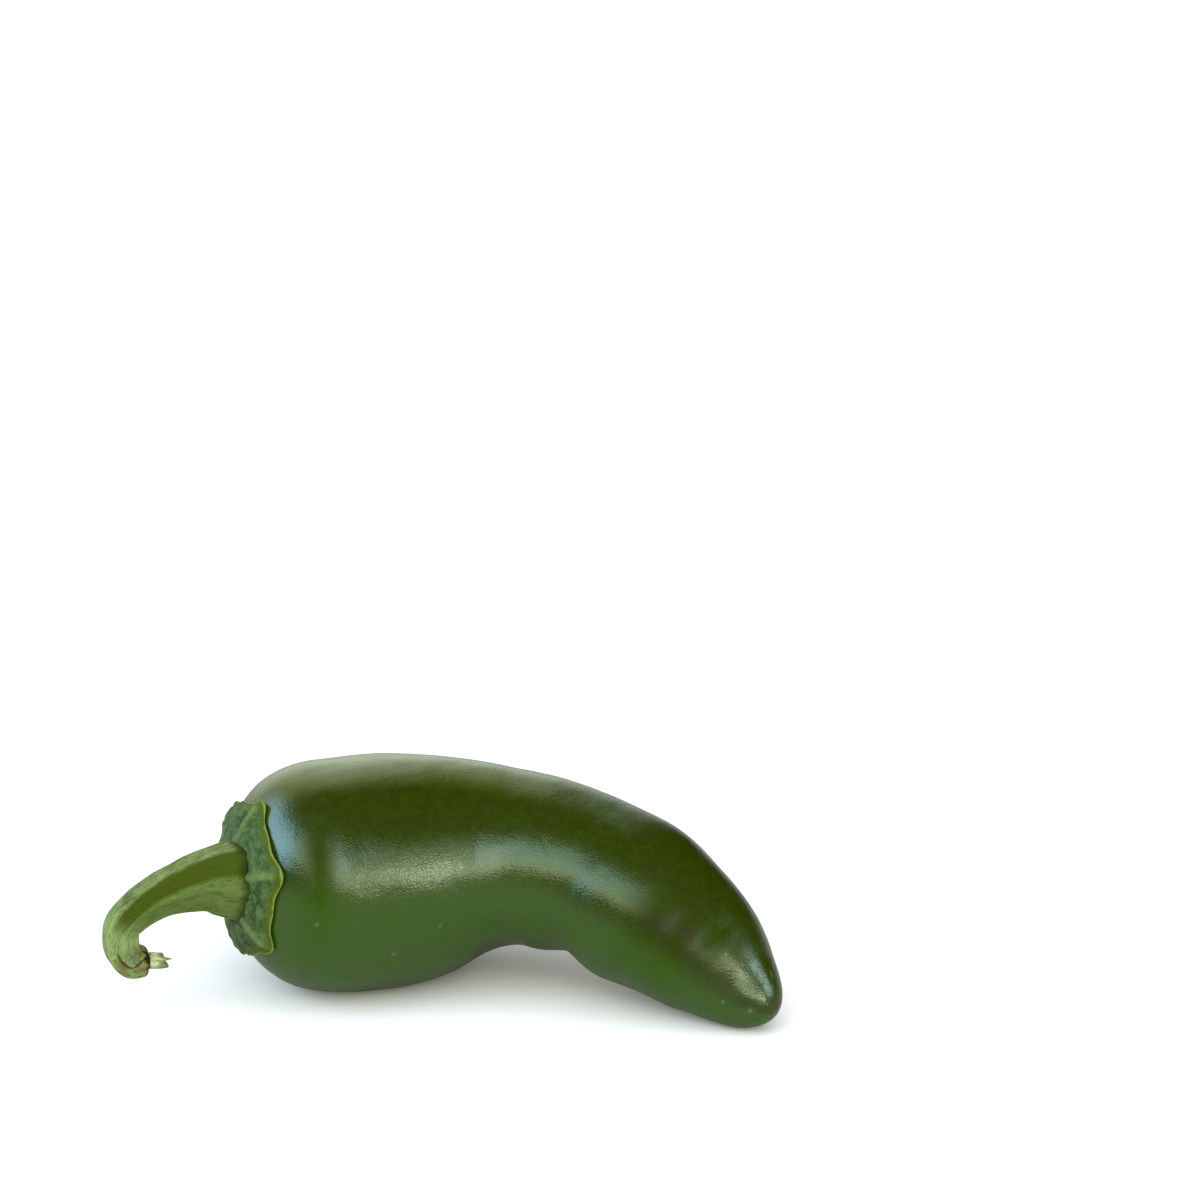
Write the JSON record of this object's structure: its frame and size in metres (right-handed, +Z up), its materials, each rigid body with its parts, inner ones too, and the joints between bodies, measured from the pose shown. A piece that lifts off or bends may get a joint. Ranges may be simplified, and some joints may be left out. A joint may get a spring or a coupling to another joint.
{
  "type": "chilli pepper",
  "caption": "Whole green chilli pepper of the jalapeno type, a plump curved pod with a toothed leafy calyx and a hooked ribbed stem, lying on its side.",
  "frame": {"origin": "under the middle of the bounding box, on the surface the pepper lies on", "axes": "+X from the stem end to the blossom end, +Z up, the pod's hollow side faces -Y and down"},
  "size_m": [0.0878, 0.0366, 0.031],
  "materials": {
    "pod": "smooth waxy dark green skin",
    "calyx": "leathery blue-green",
    "stem": "ribbed yellow-green",
    "stem_core": "pale torn fibre"
  },
  "bodies": {
    "root": {"pod": "pod", "calyx": "calyx", "stem": "stem", "stem_core": "stem_core"}
  },
  "joints": []
}
